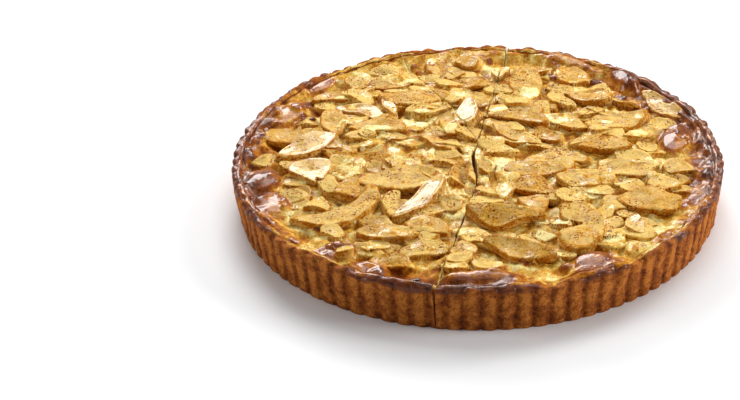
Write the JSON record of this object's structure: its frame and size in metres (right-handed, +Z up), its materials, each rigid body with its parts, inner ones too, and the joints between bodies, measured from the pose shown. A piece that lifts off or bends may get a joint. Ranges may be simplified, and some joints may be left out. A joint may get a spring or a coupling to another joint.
{
  "type": "apple tart",
  "caption": "Whole baked apple tart in a fluted pastry case, with glazed apple slices half sunk in custard and a few knife cuts through it.",
  "frame": {"origin": "centre of the underside, on the surface the tart stands on", "axes": "+Z up, +Y to the back of the tart as it is seen, +X to the right"},
  "size_m": [0.28, 0.28, 0.0318],
  "materials": {
    "pastry": "baked shortcrust, matt and porous at the side, browned and glazed at the rim",
    "compote": "moist brown apple compote",
    "custard": "baked custard, cream yellow in the middle, browned blisters towards the rim, glazed",
    "apple": "baked apple, golden, browned at its edges, cinnamon speckled and glazed"
  },
  "bodies": {
    "root": {"pastry_case_left": "pastry", "pastry_case_right": "pastry", "pastry_case_narrow": "pastry", "compote_left": "compote", "compote_right": "compote", "compote_narrow": "compote", "custard_left": "custard", "custard_right": "custard", "custard_narrow": "custard", "apple_slice_01": "apple", "apple_slice_02": "apple", "apple_slice_03": "apple", "apple_slice_04": "apple", "apple_slice_05": "apple", "apple_slice_06": "apple", "apple_slice_07": "apple", "apple_slice_08": "apple", "apple_slice_09": "apple", "apple_slice_10": "apple", "apple_slice_11": "apple", "apple_slice_12": "apple", "apple_slice_13": "apple", "apple_slice_14": "apple", "apple_slice_15": "apple", "apple_slice_16": "apple", "apple_slice_17": "apple", "apple_slice_18": "apple", "apple_slice_19": "apple", "apple_slice_20": "apple", "apple_slice_21": "apple", "apple_slice_22": "apple", "apple_slice_23": "apple", "apple_slice_24": "apple", "apple_slice_25": "apple", "apple_slice_26": "apple", "apple_slice_27": "apple", "apple_slice_28": "apple", "apple_slice_29": "apple", "apple_slice_30": "apple", "apple_slice_31": "apple", "apple_slice_32": "apple", "apple_slice_33": "apple", "apple_slice_34": "apple", "apple_slice_35": "apple", "apple_slice_36": "apple", "apple_slice_37": "apple", "apple_slice_38": "apple", "apple_slice_39": "apple", "apple_slice_40": "apple", "apple_slice_41": "apple", "apple_slice_42": "apple", "apple_slice_43": "apple", "apple_slice_44": "apple", "apple_slice_45": "apple", "apple_slice_46": "apple", "apple_slice_47": "apple", "apple_slice_48": "apple", "apple_slice_49": "apple", "apple_slice_50": "apple", "apple_slice_51": "apple"}
  },
  "joints": []
}
